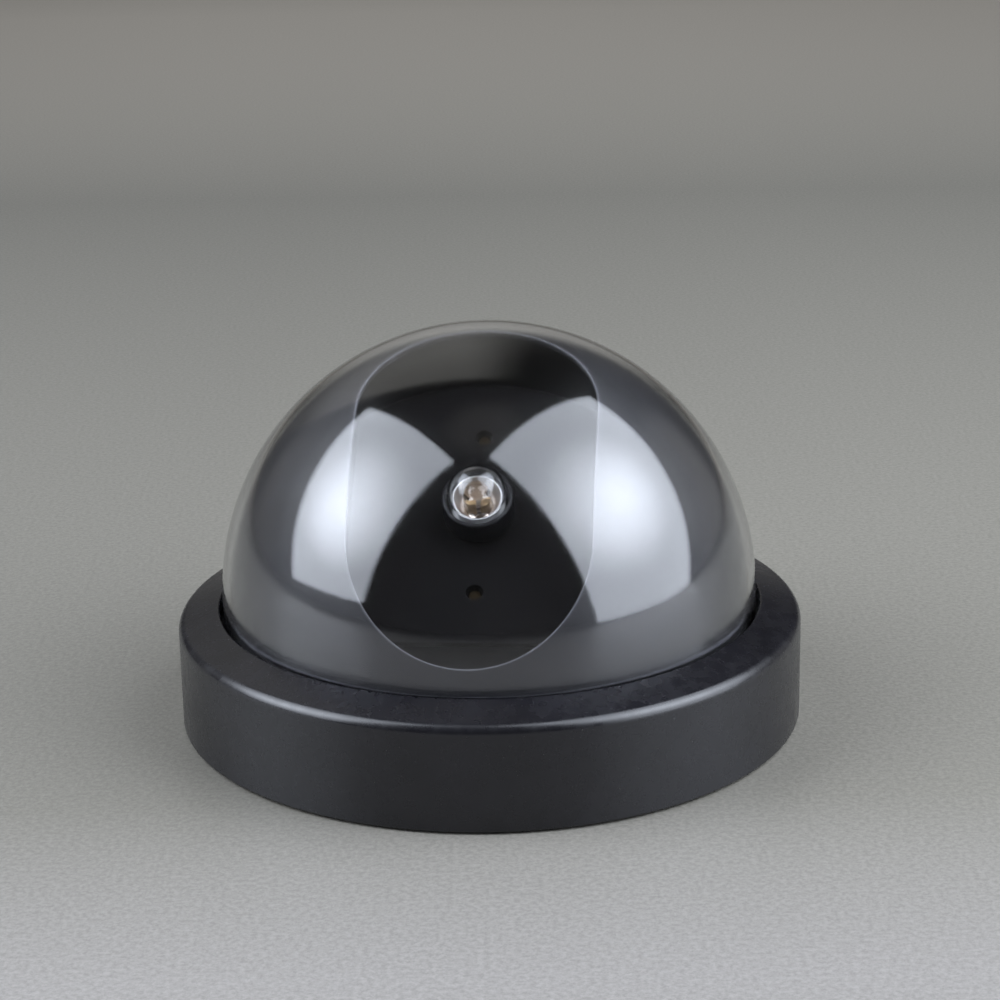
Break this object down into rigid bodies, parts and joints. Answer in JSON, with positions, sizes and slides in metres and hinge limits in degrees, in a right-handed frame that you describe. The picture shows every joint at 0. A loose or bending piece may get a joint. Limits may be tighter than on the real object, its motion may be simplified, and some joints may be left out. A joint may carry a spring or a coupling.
{
  "type": "dome cctv camera",
  "caption": "Round ceiling dome camera: black twist-off base, clear dome, black slotted liner and a small flashing lens that pans and tilts, with cells inside.",
  "frame": {"origin": "centre of the mounting plate's outer face, which is the lowest face as the object stands", "axes": "+Z out of that face towards the crown of the dome, -Y the side that the lens faces at rest"},
  "size_m": [0.118, 0.118, 0.0745],
  "materials": {
    "plate_plastic": "moulded matte black",
    "base_plastic": "satin black moulded ABS",
    "dome_clear": "clear polished plastic",
    "inner_plastic": "matte black",
    "liner_gloss": "glossy black",
    "panel_plastic": "satin black",
    "barrel_plastic": "semi-gloss black",
    "lens_clear": "clear moulded lens",
    "reflector_chrome": "vacuum metallised",
    "led_resin": "amber tinted resin",
    "holder_plastic": "natural nylon",
    "board_laminate": "solder mask",
    "chip_epoxy": "black epoxy",
    "zinc_screws": "zinc plated",
    "yellow_zinc": "yellow passivated zinc",
    "contact_steel": "nickel plated spring steel",
    "cell_jacket": "printed film over a steel can, no lettering",
    "lead_red": "PVC insulation",
    "lead_black": "PVC insulation",
    "washer_rubber": "matte rubber"
  },
  "bodies": {
    "plate": {"mounting_plate": "plate_plastic"},
    "housing": {"housing_ring": "base_plastic", "clear_dome": "dome_clear", "chassis": "inner_plastic", "chassis_screw_1": "zinc_screws", "chassis_screw_2": "zinc_screws", "chassis_screw_3": "zinc_screws", "chassis_screw_4": "zinc_screws", "aa_cell_1": "cell_jacket", "aa_cell_2": "cell_jacket", "battery_spring_1": "contact_steel", "battery_spring_2": "contact_steel", "battery_link_plate": "contact_steel", "battery_terminal_plus": "contact_steel", "battery_terminal_minus": "contact_steel", "battery_lead_red": "lead_red", "battery_lead_black": "lead_black"},
    "pan_carrier": {"pan_turntable": "inner_plastic", "pan_clip": "contact_steel", "liner": "liner_gloss", "liner_screw_1": "zinc_screws", "liner_screw_2": "zinc_screws", "liner_screw_3": "zinc_screws", "pan_lead_red": "lead_red", "pan_lead_black": "lead_black", "friction_washer_left": "washer_rubber", "friction_washer_right": "washer_rubber"},
    "tilt_head": {"tilt_cradle": "inner_plastic", "lens_panel": "panel_plastic", "panel_screw_upper": "yellow_zinc", "panel_screw_lower": "yellow_zinc", "lens_barrel": "barrel_plastic", "front_lens": "lens_clear", "reflector_cup": "reflector_chrome", "led": "led_resin", "led_holder": "holder_plastic", "led_board": "board_laminate", "flasher_chip": "chip_epoxy", "board_screw_1": "zinc_screws", "board_screw_2": "zinc_screws", "tilt_lead_red": "lead_red", "tilt_lead_black": "lead_black", "trunnion_screw_left": "zinc_screws", "trunnion_screw_right": "zinc_screws"}
  },
  "joints": [
    {"name": "bayonet_twist", "type": "hinge", "parent": "plate", "child": "housing", "pos_m": [0, 0, 0], "axis": [0, 0, 1], "range_deg": [0, 16]},
    {"name": "pan", "type": "hinge", "parent": "housing", "child": "pan_carrier", "pos_m": [0, 0, 0.0206], "axis": [0, 0, 1], "range_deg": [-170, 170]},
    {"name": "tilt", "type": "hinge", "parent": "pan_carrier", "child": "tilt_head", "pos_m": [0, -0.00254, 0.02709], "axis": [-1, 0, 0], "range_deg": [-5, 32]}
  ]
}
